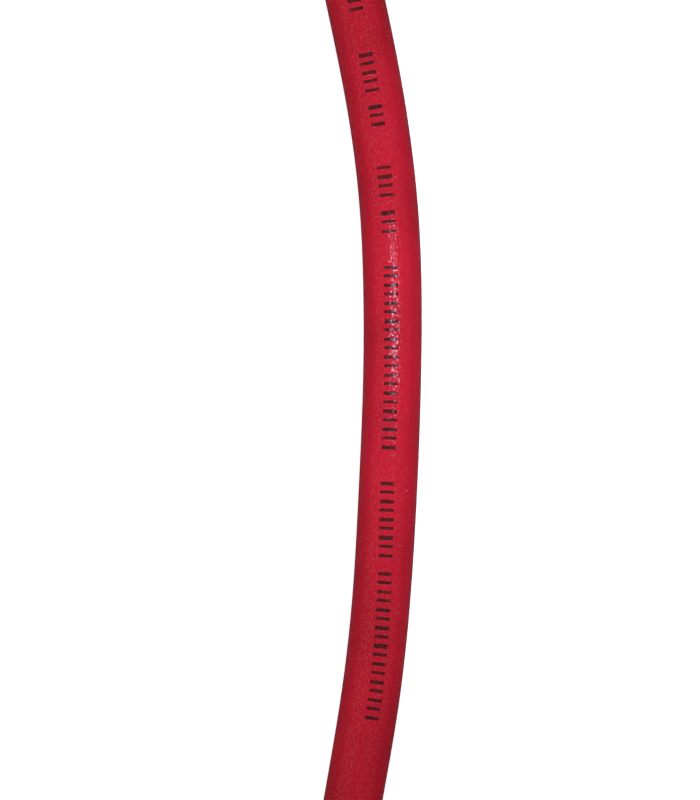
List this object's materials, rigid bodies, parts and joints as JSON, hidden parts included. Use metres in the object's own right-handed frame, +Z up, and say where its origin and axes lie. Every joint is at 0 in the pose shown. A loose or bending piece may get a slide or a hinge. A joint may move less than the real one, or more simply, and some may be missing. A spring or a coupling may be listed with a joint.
{
  "type": "refrigerant charging hose",
  "caption": "Red rubber refrigerant charging hose with knurled brass flare nuts, one end straight and one bent, its spare length tied in a coil.",
  "frame": {"origin": "under the middle of the part's outline, on the surface it lies on", "axes": "+Z up, +Y from the coil along the free stretch to the bent end"},
  "size_m": [0.1314, 0.3458, 0.026],
  "materials": {
    "hose_rubber": "matt extruded rubber with a faint grain",
    "brass": "bright turned brass, knurled nuts",
    "gasket_rubber": "smooth matt black",
    "strap": "matt black woven look"
  },
  "bodies": {
    "hose_body": {"hose": "hose_rubber", "hose_coil": "hose_rubber", "hose_tail": "hose_rubber", "ferrule_bent": "brass", "ferrule_straight": "brass", "stem_bent": "brass", "stem_straight": "brass", "gasket_bent": "gasket_rubber", "gasket_straight": "gasket_rubber", "core_depressor": "brass", "coil_tie": "strap"},
    "bent_nut": {"nut_bent": "brass"},
    "straight_nut": {"nut_straight": "brass"}
  },
  "joints": [
    {"name": "bent_nut_swivel", "type": "hinge", "parent": "hose_body", "child": "bent_nut", "pos_m": [-0.05677, 0.15541, 0.0085], "axis": [0.5402, 0.8415, 0], "continuous": true},
    {"name": "straight_nut_swivel", "type": "hinge", "parent": "hose_body", "child": "straight_nut", "pos_m": [0.05725, -0.01962, 0.0085], "axis": [0, 1, 0], "continuous": true}
  ]
}
